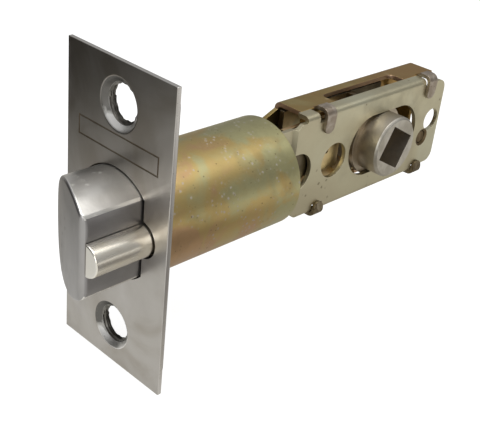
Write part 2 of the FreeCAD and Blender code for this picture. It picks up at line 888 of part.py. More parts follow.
def hub_claw():
    """One claw of the hub, leaning forward at rest, with an upright pulling face."""
    swing = math.radians(hub_swing_deg)
    tip_x = -hub_claw_radius * math.sin(swing)
    tip_z = hub_claw_radius * math.cos(swing)
    face_x = tip_x + hub_claw_tip_radius
    root_x = -hub_body_radius
    corners = [
        (hub_x + face_x, claw_root_z),
        (hub_x + face_x, tip_z),
        (hub_x + tip_x, tip_z + claw_crown),
        (hub_x + tip_x - hub_claw_tip_radius, tip_z),
        (hub_x + root_x - claw_spread, tip_z / 2),
        (hub_x + root_x + nest_gap, claw_root_z),
    ]
    arm = plate_xz(corners, claw_front_y, claw_rear_y)
    tip = rod_y(hub_claw_tip_radius, claw_front_y, claw_rear_y, hub_x + tip_x, tip_z)
    return arm.fuse(tip)


def hub():
    """The hub: two bosses, two collars, two claws and a square hole for the spindle."""
    barrel = rod_y(hub_boss_radius, -hub_half_length, hub_half_length, hub_x, 0)
    ends = [edge for edge in barrel.Edges if isinstance(edge.Curve, Part.Circle)]
    barrel = barrel.makeChamfer(hub_chamfer, ends)
    waist = rod_y(hub_boss_radius + overshoot, claw_front_y, claw_rear_y, hub_x, 0)
    core = rod_y(hub_body_radius, claw_front_y, claw_rear_y, hub_x, 0)
    collar_outer_y = cover_inner_y + collar_cover_gap
    near_collar = rod_y(hub_collar_radius, collar_outer_y, lever_outer_y, hub_x, 0)
    collar_front_y = tail_rear_y + running_gap
    collar_rear_y = frame_inner_y - collar_frame_gap
    far_collar = rod_y(hub_collar_radius, collar_front_y, collar_rear_y, hub_x, 0)
    claw = hub_claw()
    body = barrel.cut(waist).fuse([core, near_collar, far_collar, claw, mirrored_z(claw)])
    half = spindle_side / 2
    reach = hub_half_length + overshoot
    square = block(-half, half, -reach, reach, -half, half)
    square.rotate(vec(0, 0, 0), Y_AXIS, spindle_angle)
    square.translate(vec(hub_x, 0, 0))
    return body.cut(square).removeSplitter()


def deadlock_lever():
    """The lever: an arm with a toe over the tail, a finger on the guard tail, and a foot."""
    y0 = lever_outer_y
    y1 = lever_inner_y
    arm_bottom_z = lever_toe_bottom_z()
    arm_top_z = arm_bottom_z + lever_arm_height
    rear_x = lever_pivot_x + lever_rear_margin
    arm = block(lever_toe_x, lever_pivot_x, y0, y1, arm_bottom_z, arm_top_z)
    boss = rod_y(lever_boss_radius, y0, y1, lever_pivot_x, lever_pivot_z)
    leg = block(lever_leg_front_x, rear_x, y0, y1, lever_leg_bottom_z, lever_pivot_z)
    foot = block(
        lever_foot_front_x, rear_x, y0, y1, lever_leg_bottom_z, lever_foot_top_z
    )
    foot = foot.makeFillet(
        lever_foot_radius, edges_along(foot, Y_AXIS, lambda p: p.x < lever_leg_front_x)
    )
    toe = block(
        lever_toe_x,
        lever_toe_x + lever_toe_length,
        y0,
        tail_rear_y + nest_gap,
        arm_bottom_z,
        arm_bottom_z + lever_toe_height,
    )
    finger_z = guard_ramp_z(lever_finger_x + lever_finger_length) + running_gap
    finger_end_x = lever_finger_x + lever_finger_length
    finger = block(lever_finger_x, finger_end_x, y0, y1, finger_z, arm_bottom_z)
    finger_pad = block(
        lever_finger_x,
        finger_end_x,
        guard_tail_inner_y - guard_tail_thickness,
        y1,
        finger_z,
        finger_z + lever_pad_height,
    )
    bore = rod_y(lever_stud_radius + seat_gap, y0, y1, lever_pivot_x, lever_pivot_z)
    body = arm.fuse([boss, leg, foot, toe, finger, finger_pad])
    return body.cut(bore).removeSplitter()


def lever_toe_bottom_z():
    """The toe's underside at rest: it stays clear of the tail's edge when the lever drops."""
    reach = lever_pivot_x - lever_toe_x
    drop = reach * math.sin(math.radians(lever_drop_deg))
    return tail_half_width + running_gap + drop


def lever_stud():
    """The stud pressed into a blind seat in the cover, which the lever turns on."""
    outer_y = cover_outer_y + stud_seat_floor + seat_gap
    end_y = lever_inner_y + tail_slot_gap
    return rod_y(lever_stud_radius, outer_y, end_y, lever_pivot_x, lever_pivot_z)


def lever_spring():
    """The short spring wound round the stud, between the cover and the lever."""
    coil_start_y = cover_inner_y + nest_gap
    coil_length = lever_outer_y - nest_gap - coil_start_y
    start = vec(lever_pivot_x, coil_start_y, lever_pivot_z)
    return coil(
        lever_spring_radius, lever_spring_wire, lever_spring_turns, start, coil_length, Y_AXIS
    )


def write(name, shape):
    """Write one sub-part as a STEP file."""
    shape.exportStep("parts/" + name + ".step")


def main():
    """Build every sub-part and write its file."""
    os.makedirs("parts", exist_ok=True)
    pieces = [
        face_plate,
        backing_plate,
        barrel_tube,
        rear_bush,
        channel_frame,
        side_cover,
        cover_pillar,
        lever_stud,
        lever_spring,
        latch_bolt,
        bolt_cross_pin,
        bolt_tail,
        retractor,
        bolt_spring,
        guard_bolt,
        guard_tail,
        guard_rivet,
        guard_spring,
        hub,
        deadlock_lever,
    ]
    for piece in pieces:
        shape = piece()
        write(piece.__name__, shape)
        print(piece.__name__, len(shape.Solids), round(shape.Volume, 2), shape.isValid())


main()
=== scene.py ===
"""Looks of a tubular door latch with a guard bolt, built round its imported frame.

Everything is in metres in the latch's own frame: +X runs into the door, the bolts point
to -X, the pale side cover faces -Y, +Z is up and the hub's axis is parallel to Y.
"""

import json
import logging
import math
from dataclasses import dataclass, field, replace
from enum import Enum
from typing import Callable

import bmesh
import bpy
from mathutils import Matrix, Quaternion, Vector

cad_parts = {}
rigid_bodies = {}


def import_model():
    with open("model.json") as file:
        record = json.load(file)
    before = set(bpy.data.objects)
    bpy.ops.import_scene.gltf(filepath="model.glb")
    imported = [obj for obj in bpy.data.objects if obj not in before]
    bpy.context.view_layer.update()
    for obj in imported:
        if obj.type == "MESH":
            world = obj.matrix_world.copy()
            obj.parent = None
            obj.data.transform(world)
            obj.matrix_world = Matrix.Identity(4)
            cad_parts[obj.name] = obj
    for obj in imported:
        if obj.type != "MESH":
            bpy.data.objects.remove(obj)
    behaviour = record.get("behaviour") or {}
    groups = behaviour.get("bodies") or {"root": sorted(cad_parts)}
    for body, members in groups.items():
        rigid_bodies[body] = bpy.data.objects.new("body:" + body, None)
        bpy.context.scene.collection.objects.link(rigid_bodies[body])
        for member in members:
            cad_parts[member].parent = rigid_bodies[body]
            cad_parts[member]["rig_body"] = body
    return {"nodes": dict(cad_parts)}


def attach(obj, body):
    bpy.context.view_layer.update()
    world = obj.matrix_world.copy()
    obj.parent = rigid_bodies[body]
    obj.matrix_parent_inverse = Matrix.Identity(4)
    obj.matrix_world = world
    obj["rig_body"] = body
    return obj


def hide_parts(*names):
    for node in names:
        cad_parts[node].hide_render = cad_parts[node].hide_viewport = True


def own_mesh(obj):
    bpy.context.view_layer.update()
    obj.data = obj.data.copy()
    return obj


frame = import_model()

MM = 0.001
LEVEL_GLOSS = 0.6
SPECK_ROUGHNESS = 0.2
Colour = tuple[float, float, float]
Triple = tuple[float, float, float]
Pair = tuple[float, float]
EdgeTest = Callable[[Vector, Vector], bool]
FaceTest = Callable[[Vector, Vector], bool]

log = logging.getLogger("latch")


def aim(place: Triple, target: Triple) -> Matrix:
    """Gives the placement of a thing that stands at one place and faces another, both in mm."""
    facing = (Vector(target) - Vector(place)).to_track_quat("-Z", "Y")
    return Matrix.LocRotScale(Vector(place) * MM, facing, None)


def new_object(name: str, shape: bmesh.types.BMesh) -> bpy.types.Object:
    """Makes an object and links it to the scene.

    Args:
        name: The object's name.
        shape: Its shape, which is freed.

    Returns:
        The new object.
    """
    mesh = bpy.data.meshes.new(name)
    shape.to_mesh(mesh)
    shape.free()
    piece = bpy.data.objects.new(name, mesh)
    bpy.context.scene.collection.objects.link(piece)
    return piece


class Stroke(Enum):
    """The way that the fine lines of a brushed or drawn surface run."""

    ALONG_X = (0.04, 1.0, 1.0)
    ALONG_Y = (1.0, 0.04, 1.0)
    ALONG_Z = (1.0, 1.0, 0.04)
    NONE = (1.0, 1.0, 1.0)


class Graph:
    """Nodes and links of one shader tree, added by short calls."""

    def __init__(self, tree: bpy.types.NodeTree) -> None:
        """Starts with an empty tree.

        Args:
            tree: The node tree to fill.
        """
        self.tree = tree
        self.tree.nodes.clear()

    def add(self, kind: str, **settings: object) -> bpy.types.Node:
        """Adds a node.

        Args:
            kind: The node's type without the leading "ShaderNode".
            **settings: Attributes to set on the node.

        Returns:
            The new node.
        """
        node = self.tree.nodes.new("ShaderNode" + kind)
        for name, value in settings.items():
            setattr(node, name, value)
        return node

    def feed(self, socket: bpy.types.NodeSocket, value: object) -> None:
        """Links an output to a socket, or sets the socket's own value.

        Args:
            socket: The input socket.
            value: An output socket, a number, a colour or a vector.
        """
        if isinstance(value, bpy.types.NodeSocket):
            self.tree.links.new(value, socket)
        elif socket.type == "RGBA":
            socket.default_value = (*value, 1.0)
        else:
            socket.default_value = value

    def math(self, operation: str, first: object, second: object = 0.0) -> bpy.types.NodeSocket:
        """Adds a math node and returns its result."""
        node = self.add("Math", operation=operation)
        self.feed(node.inputs[0], first)
        self.feed(node.inputs[1], second)
        return node.outputs[0]

    def times(self, first: object, second: object) -> bpy.types.NodeSocket:
        """Adds a product and returns it."""
        return self.math("MULTIPLY", first, second)

    def ramp(self, value: object, low: float, high: float) -> bpy.types.NodeSocket:
        """Adds a smooth step from 0 at low to 1 at high and returns its result."""
        node = self.add("MapRange", interpolation_type="SMOOTHSTEP")
        self.feed(node.inputs["Value"], value)
        node.inputs["From Min"].default_value = low
        node.inputs["From Max"].default_value = high
        return node.outputs["Result"]

    def mix(self, share: object, first: object, second: object) -> bpy.types.NodeSocket:
        """Adds a colour mix and returns its result."""
        node = self.add("Mix", data_type="RGBA")
        self.feed(node.inputs[0], share)
        self.feed(node.inputs[6], first)
        self.feed(node.inputs[7], second)
        return node.outputs[2]

    def noise(
        self, vector: object, scale: object, detail: float = 3.0, warp: float = 0.0
    ) -> bpy.types.NodeSocket:
        """Adds a noise texture and returns its value."""
        node = self.add("TexNoise")
        self.feed(node.inputs["Vector"], vector)
        self.feed(node.inputs["Scale"], scale)
        node.inputs["Detail"].default_value = detail
        node.inputs["Distortion"].default_value = warp
        return node.outputs[0]


class Pattern:
    """A shader node group with named sockets, built once and shared by the finishes."""

    name = "pattern"
    inputs: dict[str, str] = {}
    outputs: dict[str, str] = {}

    def __init__(self) -> None:
        """Makes the group's sockets and calls draw for what is inside."""
        self.group = bpy.data.node_groups.new(self.name, "ShaderNodeTree")
        for label, kind in self.inputs.items():
            self.socket(label, "INPUT", kind)
        for label, kind in self.outputs.items():
            self.socket(label, "OUTPUT", kind)
        graph = Graph(self.group)
        source = self.group.nodes.new("NodeGroupInput")
        target = self.group.nodes.new("NodeGroupOutput")
        self.draw(graph, source.outputs, target.inputs)

    def socket(self, label: str, side: str, kind: str) -> None:
        """Adds a socket of a kind to the group's input or output side."""
        self.group.interface.new_socket(label, in_out=side, socket_type="NodeSocket" + kind)

    def draw(self, graph: Graph, given: object, result: object) -> None:
        """Fills the group.

        Args:
            graph: The group's graph.
            given: The group's input values, by name.
            result: The group's output sockets, by name.
        """
        raise NotImplementedError

    def place(self, graph: Graph, **values: object) -> bpy.types.Node:
        """Places the group in a material.

        Args:
            graph: The material's graph.
            **values: Values by socket name, with _ for a space.

        Returns:
            The group node.
        """
        node = graph.add("Group")
        node.node_tree = self.group
        for label, value in values.items():
            graph.feed(node.inputs[label.replace("_", " ")], value)
        return node


class FineLines(Pattern):
    """Fine parallel lines, as brushing or drawing leaves them."""

    name = "fine_lines"
    inputs = {"Vector": "Vector", "Stretch": "Vector", "Scale": "Float"}
    outputs = {"Lines": "Float"}
    coarse_times = 0.22

    def draw(self, graph: Graph, given: object, result: object) -> None:
        """Stretches two noises along the stroke and averages them."""
        stretched = graph.add("VectorMath", operation="MULTIPLY")
        graph.feed(stretched.inputs[0], given["Vector"])
        graph.feed(stretched.inputs[1], given["Stretch"])
        fine = graph.noise(stretched.outputs[0], given["Scale"], 2.0)
        coarse_scale = graph.times(given["Scale"], self.coarse_times)
        coarse = graph.noise(stretched.outputs[0], coarse_scale, 3.0)
        both = graph.math("ADD", fine, coarse)
        graph.feed(result["Lines"], graph.times(both, 0.5))


class PlatingBloom(Pattern):
    """Slow colour drift of a passivated or nickel-plated surface, between three tints, and in some
    finishes painted light and shade.
    """

    name = "plating_bloom"
    inputs = {
        "Vector": "Vector",
        "Scale": "Float",
        "Drift": "Vector",
        "Offset": "Float",
        "First": "Color",
        "Second": "Color",
        "Third": "Color",
    }
    outputs = {"Tint": "Color"}
    cloud_detail = 4.0
    cloud_warp = 0.8
    lower_step = (0.36, 0.56)
    upper_step = (0.54, 0.74)

    def draw(self, graph: Graph, given: object, result: object) -> None:
        """Adds a steady drift to a warped noise and mixes the tints by it."""
        cloud = graph.noise(given["Vector"], given["Scale"], self.cloud_detail, self.cloud_warp)
        slope = graph.add("VectorMath", operation="DOT_PRODUCT")
        graph.feed(slope.inputs[0], given["Vector"])
        graph.feed(slope.inputs[1], given["Drift"])
        level = graph.math("ADD", cloud, slope.outputs["Value"])
        level = graph.math("ADD", level, given["Offset"])
        lower = graph.mix(graph.ramp(level, *self.lower_step), given["First"], given["Second"])
        upper = graph.mix(graph.ramp(level, *self.upper_step), lower, given["Third"])
        graph.feed(result["Tint"], upper)


class PitSpots(Pattern):
    """Scattered ragged spots, as white rust and pits in thin plating."""

    name = "pit_spots"
    inputs = {"Vector": "Vector", "Scale": "Float", "Share": "Float"}
    outputs = {"Mask": "Float"}
    fray_times = 5.0
    fray_share = 0.55
    spot_rim = (0.42, 0.62)
    patch_times = 0.16
    patch_rim = (0.44, 0.60)

    def draw(self, graph: Graph, given: object, result: object) -> None:
        """Keeps a share of a cell pattern's cells, in patches, and frays each spot's rim."""
        cells = graph.add("TexVoronoi")
        graph.feed(cells.inputs["Vector"], given["Vector"])
        graph.feed(cells.inputs["Scale"], given["Scale"])
        fray_scale = graph.times(given["Scale"], self.fray_times)
        fray = graph.noise(given["Vector"], fray_scale, 4.0)
        fray = graph.times(fray, self.fray_share)
        reach = graph.math("ADD", cells.outputs["Distance"], fray)
        spot = graph.math("SUBTRACT", 1.0, graph.ramp(reach, *self.spot_rim))
        chosen = graph.add("SeparateColor")
        graph.feed(chosen.inputs[0], cells.outputs["Color"])
        kept = graph.math("LESS_THAN", chosen.outputs[0], given["Share"])
        patch_scale = graph.times(given["Scale"], self.patch_times)
        patch = graph.noise(given["Vector"], patch_scale, 3.0, 0.5)
        patch = graph.ramp(patch, *self.patch_rim)
        spot = graph.times(spot, kept)
        graph.feed(result["Mask"], graph.times(spot, patch))


class HandMarks(Pattern):
    """Soft smears of oil and dust."""

    name = "hand_marks"
    inputs = {"Vector": "Vector", "Scale": "Float"}
    outputs = {"Mask": "Float"}
    finer_times = 6.0
    broad_rim = (0.45, 0.72)
    finer_rim = (0.3, 0.8)

    def draw(self, graph: Graph, given: object, result: object) -> None:
        """Multiplies a broad noise by a finer one."""
        broad = graph.noise(given["Vector"], given["Scale"], 2.0, 0.4)
        finer_scale = graph.times(given["Scale"], self.finer_times)
        finer = graph.noise(given["Vector"], finer_scale, 5.0, 0.2)
        broad = graph.ramp(broad, *self.broad_rim)
        finer = graph.ramp(finer, *self.finer_rim)
        graph.feed(result["Mask"], graph.times(broad, finer))


@dataclass(frozen=True)
class Specks:
    """One layer of spots on a metal surface: how many, how fine, and what they look like."""

    share: float
    scale: float
    tint: Colour
    strength: float = 0.7
    depth: float = 0.01


@dataclass(frozen=True)
class MetalFinish:
    """One metal surface of the latch: its tints, gloss, lines, spots, smears and, in some, painted
    light or shade.

    The scales are in cycles per metre, because the patterns read Object coordinates.
    """

    name: str
    tints: tuple[Colour, Colour, Colour]
    roughness: float
    roughness_spread: float = 0.12
    bloom_scale: float = 60.0
    drift: Triple = (0.0, 0.0, 0.0)
    offset: float = 0.0
    stroke: Stroke = Stroke.NONE
    line_scale: float = 9000.0
    line_depth: float = 0.006
    specks: tuple[Specks, ...] = ()
    smear: float = 0.25
    smear_scale: float = 45.0
    smear_tint: Colour = (0.12, 0.10, 0.07)

    def build(self, patterns: dict[str, Pattern]) -> bpy.types.Material:
        """Builds the material.

        Args:
            patterns: The shared groups, by name.

        Returns:
            The finished material.
        """
        material = bpy.data.materials.new(self.name)
        material.use_nodes = True
        graph = Graph(material.node_tree)
        shader = graph.add("BsdfPrincipled")
        output = graph.add("OutputMaterial")
        graph.feed(output.inputs["Surface"], shader.outputs[0])
        place = graph.add("TexCoord").outputs["Object"]
        bloom = patterns["plating_bloom"].place(
            graph,
            Vector=place,
            Scale=self.bloom_scale,
            Drift=self.drift,
            Offset=self.offset,
            First=self.tints[0],
            Second=self.tints[1],
            Third=self.tints[2],
        )
        marks = patterns["hand_marks"].place(graph, Vector=place, Scale=self.smear_scale)
        lines = patterns["fine_lines"].place(
            graph, Vector=place, Stretch=self.stroke.value, Scale=self.line_scale
        )
        smear = graph.times(marks.outputs[0], self.smear)
        colour = graph.mix(smear, bloom.outputs[0], self.smear_tint)
        height = graph.times(lines.outputs[0], self.line_depth)
        uneven = graph.math("ADD", lines.outputs[0], marks.outputs[0])
        uneven = graph.math("SUBTRACT", uneven, LEVEL_GLOSS)
        rough = graph.times(uneven, self.roughness_spread)
        rough = graph.math("ADD", rough, self.roughness)
        for layer in self.specks:
            spots = patterns["pit_spots"].place(
                graph, Vector=place, Scale=layer.scale, Share=layer.share
            ).outputs[0]
            colour = graph.mix(graph.times(spots, layer.strength), colour, layer.tint)
            dulled = graph.times(spots, SPECK_ROUGHNESS)
            rough = graph.math("ADD", rough, dulled)
            height = graph.math("SUBTRACT", height, graph.times(spots, layer.depth))
        bump = graph.add("Bump")
        bump.inputs["Strength"].default_value = 1.0
        bump.inputs["Distance"].default_value = MM
        graph.feed(bump.inputs["Height"], height)
        graph.feed(shader.inputs["Base Color"], colour)
        graph.feed(shader.inputs["Roughness"], rough)
        graph.feed(shader.inputs["Normal"], bump.outputs[0])
        shader.inputs["Metallic"].default_value = 1.0
        return material


FACE_STEEL = MetalFinish(
    name="brushed_stainless",
    tints=((0.40, 0.37, 0.33), (0.50, 0.48, 0.45), (0.55, 0.53, 0.51)),
    roughness=0.34,
    stroke=Stroke.ALONG_Z,
    smear=0.18,
    smear_tint=(0.20, 0.17, 0.14),
)
PLATE_EDGE = MetalFinish(
    name="bright_plate_edge",
    tints=((0.62, 0.60, 0.57), (0.68, 0.66, 0.63), (0.72, 0.70, 0.67)),
    roughness=0.30,
    smear=0.1,
)
BACKING_STEEL = MetalFinish(
    name="bright_zinc_plate",
    tints=((0.46, 0.46, 0.45), (0.55, 0.55, 0.53), (0.60, 0.59, 0.55)),
    roughness=0.40,
    specks=(Specks(0.3, 260.0, (0.60, 0.60, 0.55)),),
)
# Countersink cones: the drift down and across each cone runs the tints from near black to near
# white. This is painted shade on the cone's upper side and a painted highlight crescent on its
# lower, -Y side.
UPPER_CONE_PAINTED_LIGHT = MetalFinish(
    name="upper_countersink_painted_highlight_and_shade",
    tints=((0.16, 0.155, 0.145), (0.50, 0.49, 0.46), (0.94, 0.93, 0.90)),
    roughness=0.38,
    bloom_scale=400.0,
    drift=(0.0, -55.0, -190.0),
    offset=4.0,
    specks=(Specks(0.4, 1400.0, (0.30, 0.28, 0.25), 0.5),),
)
LOWER_CONE_PAINTED_LIGHT = replace(UPPER_CONE_PAINTED_LIGHT, name="lower_countersink_painted_highlight_and_shade", offset=-4.40)
# Thread ridge in the screw holes: far darker than the plate it is cut in. This is painted shade of
# the hole's inside, with paler ragged spots.
SHADED_THREAD_STEEL = MetalFinish(
    name="torn_thread_painted_shade",
    tints=((0.14, 0.135, 0.12), (0.24, 0.23, 0.21), (0.50, 0.49, 0.46)),
    roughness=0.42,
    bloom_scale=500.0,
)
GROOVE_STEEL = MetalFinish(
    name="dull_groove",
    tints=((0.22, 0.18, 0.14), (0.30, 0.26, 0.21), (0.36, 0.32, 0.27)),
    roughness=0.5,
)
# Latch bolt, one nickel part in three copies. This pale copy covers the round top and the ridge
# band between the flat and the slope: painted light, with a painted highlight on the ridge.
BOLT_NICKEL_PAINTED_LIGHT = MetalFinish(
    name="satin_nickel_bolt_painted_light",
    tints=((0.70, 0.68, 0.64), (0.84, 0.82, 0.78), (0.92, 0.90, 0.86)),
    roughness=0.38,
    bloom_scale=130.0,
    stroke=Stroke.ALONG_X,
    specks=(
        Specks(0.5, 900.0, (0.86, 0.85, 0.80), 0.6, 0.004),
        Specks(0.3, 520.0, (0.34, 0.31, 0.27), 0.5),
    ),
    smear=0.25,
)
# Flat side of the latch bolt: far darker than the top, as painted shade and painted dark
# reflection.
BOLT_FLAT_PAINTED_SHADE = MetalFinish(
    name="nickel_flat_painted_shade",
    tints=((0.29, 0.28, 0.28), (0.35, 0.34, 0.34), (0.42, 0.41, 0.41)),
    roughness=0.40,
    stroke=Stroke.ALONG_Z,
    smear=0.25,
)
# Nose slope of the latch bolt: between the other two in tone and lighter upward by the drift, as
# painted light from above.
BOLT_SLOPE_PAINTED_LIGHT = MetalFinish(
    name="nickel_slope_painted_light",
    tints=((0.36, 0.355, 0.35), (0.45, 0.44, 0.435), (0.54, 0.53, 0.52)),
    roughness=0.38,
    drift=(0.0, 0.0, 8.0),
    stroke=Stroke.ALONG_Z,
    specks=(Specks(0.3, 700.0, (0.36, 0.34, 0.31), 0.4),),
    smear=0.2,
)
GUARD_NICKEL = MetalFinish(
    name="bright_nickel_guard",
    tints=((0.80, 0.73, 0.60), (0.92, 0.87, 0.76), (0.95, 0.92, 0.85)),
    roughness=0.26,
    bloom_scale=140.0,
    offset=0.08,
    stroke=Stroke.ALONG_X,
    line_depth=0.002,
    smear=0.2,
)
# Front end of the guard bolt: the same nickel as its round side in a greyer copy, as painted light
# on the end face.
GUARD_END_PAINTED_LIGHT = MetalFinish(
    name="nickel_end_painted_light",
    tints=((0.80, 0.78, 0.72), (0.86, 0.84, 0.78), (0.90, 0.88, 0.84)),
    roughness=0.30,
    smear=0.1,
)
BARREL_CHROMATE = MetalFinish(
    name="yellow_chromate_barrel",
    tints=((0.56, 0.36, 0.19), (0.56, 0.42, 0.17), (0.50, 0.47, 0.25)),
    roughness=0.36,
    bloom_scale=130.0,
    # The drift's Z part turns the tube's top towards the greyer third tint, as a painted
    # reflection of the grey surroundings above. Its X part and the cloud are the chromate's own
    # colour.
    drift=(9.0, 0.0, 12.0),
    offset=-0.15,
    stroke=Stroke.ALONG_X,
    line_depth=0.004,
    specks=(
        Specks(0.8, 1000.0, (0.60, 0.56, 0.53), 0.65, 0.004),
        Specks(0.16, 1700.0, (0.16, 0.12, 0.06), 0.7, 0.02),
    ),
    smear=0.35,
)
COVER_CHROMATE = MetalFinish(
    name="pale_chromate_cover",
    tints=((0.55, 0.50, 0.35), (0.58, 0.54, 0.38), (0.62, 0.60, 0.45)),
    roughness=0.40,
    bloom_scale=55.0,
    drift=(4.0, 0.0, 2.0),
    offset=-0.27,
    line_depth=0.004,
    specks=(Specks(0.12, 800.0, (0.24, 0.20, 0.13), 0.6),),
    smear=0.3,
)
CHANNEL_CHROMATE = MetalFinish(
    name="gold_brown_chromate",
    tints=((0.39, 0.23, 0.07), (0.41, 0.28, 0.09), (0.44, 0.35, 0.14)),
    roughness=0.36,
    bloom_scale=70.0,
    specks=(Specks(0.2, 380.0, (0.55, 0.45, 0.30)),),
    smear=0.4,
)
SHEARED_TAB = MetalFinish(
    name="sheared_tab",
    tints=((0.34, 0.28, 0.22), (0.44, 0.38, 0.31), (0.58, 0.53, 0.46)),
    roughness=0.42,
    bloom_scale=500.0,
    stroke=Stroke.ALONG_Y,
    line_scale=3000.0,
    line_depth=0.05,
    specks=(Specks(0.3, 1400.0, (0.20, 0.16, 0.12)),),
)
# Lower crimped tabs: the same sheared tabs as the upper ones but far darker, as painted shade
# under the housing.
SHADED_TAB = MetalFinish(
    name="tab_painted_shade",
    tints=((0.13, 0.10, 0.06), (0.22, 0.18, 0.11), (0.42, 0.37, 0.28)),
    roughness=0.45,
    bloom_scale=500.0,
)
CUT_EDGE = MetalFinish(
    name="coppery_cut_edge",
    tints=((0.55, 0.36, 0.24), (0.60, 0.42, 0.28), (0.62, 0.50, 0.36)),
    roughness=0.45,
    stroke=Stroke.ALONG_Y,
    line_scale=4000.0,
    line_depth=0.02,
)
INNER_CHROMATE = MetalFinish(
    name="yellow_chromate_inner",
    tints=((0.66, 0.47, 0.26), (0.72, 0.57, 0.32), (0.68, 0.60, 0.38)),
    roughness=0.38,
    smear=0.45,
)
# Inner pieces seen through the gaps and windows: near black, as painted shade of the housing's
# inside.
SHADED_INNER = MetalFinish(
    name="inner_steel_painted_shade",
    tints=((0.10, 0.08, 0.05), (0.17, 0.14, 0.09), (0.34, 0.28, 0.19)),
    roughness=0.36,
    bloom_scale=160.0,
)
HUB_FACE = MetalFinish(
    name="pale_nickel_hub",
    tints=((0.46, 0.43, 0.36), (0.56, 0.53, 0.46), (0.64, 0.62, 0.56)),
    roughness=0.38,
    bloom_scale=300.0,
    specks=(Specks(0.4, 700.0, (0.42, 0.38, 0.32)),),
    smear=0.3,
)
# Round side of the hub: the same nickel as its face, growing browner towards +Y by the drift. This
# is painted shade and painted reflection inside the aperture.
HUB_SIDE_PAINTED_SHADE = MetalFinish(
    name="hub_side_painted_shade",
    tints=((0.50, 0.43, 0.33), (0.56, 0.49, 0.38), (0.50, 0.45, 0.38)),
    roughness=0.40,
    bloom_scale=120.0,
    drift=(0.0, -60.0, 0.0),
    offset=-0.30,
    smear=0.5,
)
# Walls of the screw holes in the backing plate: near black, as painted shade of the hole's inside.
SHADED_BORE = MetalFinish(
    name="bore_painted_shade",
    tints=((0.10, 0.095, 0.085), (0.16, 0.15, 0.135), (0.26, 0.25, 0.23)),
    roughness=0.5,
    bloom_scale=600.0,
)
# Dimple round the pillar's rivet end, and the end itself: dark brown, as painted shade of the
# recess.
SHADED_RIVET_END = MetalFinish(
    name="rivet_end_painted_shade",
    tints=((0.14, 0.10, 0.05), (0.22, 0.16, 0.09), (0.34, 0.28, 0.18)),
    roughness=0.5,
    bloom_scale=300.0,
)
CAST_ZINC = MetalFinish(
    name="die_cast_zinc",
    tints=((0.38, 0.37, 0.35), (0.44, 0.43, 0.41), (0.48, 0.47, 0.45)),
    roughness=0.55,
    specks=(Specks(0.35, 260.0, (0.60, 0.60, 0.55)),),
    smear=0.3,
)
SPRING_WIRE = MetalFinish(
    name="spring_wire",
    tints=((0.45, 0.45, 0.44), (0.50, 0.50, 0.49), (0.54, 0.54, 0.53)),
    roughness=0.28,
    smear=0.3,
)


class Paintbox:
    """Builds the shared patterns and each finish once."""

    def __init__(self) -> None:
        """Builds the four pattern groups."""
        made = [FineLines(), PlatingBloom(), PitSpots(), HandMarks()]
        self.patterns = {pattern.name: pattern for pattern in made}
        self.materials: dict[str, bpy.types.Material] = {}

    def get(self, finish: MetalFinish) -> bpy.types.Material:
        """Returns the material of a finish, built on first use."""
        if finish.name not in self.materials:
            self.materials[finish.name] = finish.build(self.patterns)
        return self.materials[finish.name]

    def coat(self, node: str, finish: MetalFinish) -> None:
        """Gives a CAD node that keeps its own mesh a finish.

        Args:
            node: The node's name.
            finish: The finish for its whole surface.
        """
        target = frame["nodes"][node]
        target.data.materials.clear()
        target.data.materials.append(self.get(finish))
        log.info("%s keeps its mesh, in %s", node, finish.name)


@dataclass
class DressedNode:
    """A CAD node's shape with its edges rounded, standing for that node.

    Args:
        node: The CAD node's name.
        paintbox: Where the finishes come from.
        finishes: The finishes, of which the first covers every face at first.
    """

    node: str
    paintbox: Paintbox
    finishes: list[MetalFinish]
    flat_limit: float = math.radians(0.4)
    sharp_limit: float = math.radians(24.0)
    smooth_limit: float = math.radians(38.0)
    shape: bmesh.types.BMesh = field(init=False)

    def __post_init__(self) -> None:
        """Merges a copy of the node's loose triangles into whole faces."""
        self.shape = bmesh.new()
        self.shape.from_mesh(frame["nodes"][self.node].data)
        bmesh.ops.remove_doubles(self.shape, verts=self.shape.verts[:], dist=0.002 * MM)
        bmesh.ops.dissolve_limit(
            self.shape,
            angle_limit=self.flat_limit,
            verts=self.shape.verts[:],
            edges=self.shape.edges[:],
        )
        for face in self.shape.faces:
            face.material_index = 0

    def soften(self, width: float, segments: int, accept: EdgeTest | None = None) -> None:
        """Rounds the sharp edges that a test accepts.

        Args:
            width: The bevel's width in millimetres.
            segments: How many faces go round each edge.
            accept: A test of the edge's two ends, in millimetres.
        """
        chosen = []
        for edge in self.shape.edges:
            if len(edge.link_faces) != 2 or edge.calc_face_angle(0.0) < self.sharp_limit:
                continue
            ends = [vertex.co / MM for vertex in edge.verts]
            if accept is None or accept(ends[0], ends[1]):
                chosen.append(edge)
        bmesh.ops.bevel(
            self.shape,
            geom=chosen,
            offset=width * MM,
            offset_type="OFFSET",
            segments=segments,
            profile=0.5,
            affect="EDGES",
            clamp_overlap=True,
            material=-1,
        )

    def paint(self, index: int, accept: FaceTest) -> None:
        """Gives the faces that a test accepts another of the finishes.

        Args:
            index: The finish's place in the list.
            accept: A test of the face's middle, in millimetres, and its normal.
        """
        for face in self.shape.faces:
            if accept(face.calc_center_median() / MM, face.normal):
                face.material_index = index

    def hand_over(self) -> bpy.types.Object:
        """Makes the object, lets it ride and stand for the node, and returns it."""
        body = frame["nodes"][self.node]["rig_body"]
        piece = new_object(self.node + "_dressed", self.shape)
        for finish in self.finishes:
            piece.data.materials.append(self.paintbox.get(finish))
        piece.data.shade_smooth()
        piece.data.set_sharp_from_angle(angle=self.smooth_limit)
        weighted = piece.modifiers.new("even_shading", "WEIGHTED_NORMAL")
        weighted.keep_sharp = True
        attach(piece, body)
        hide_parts(self.node)
        log.info("%s stands for %s, %d faces", piece.name, self.node, len(piece.data.polygons))
        return piece


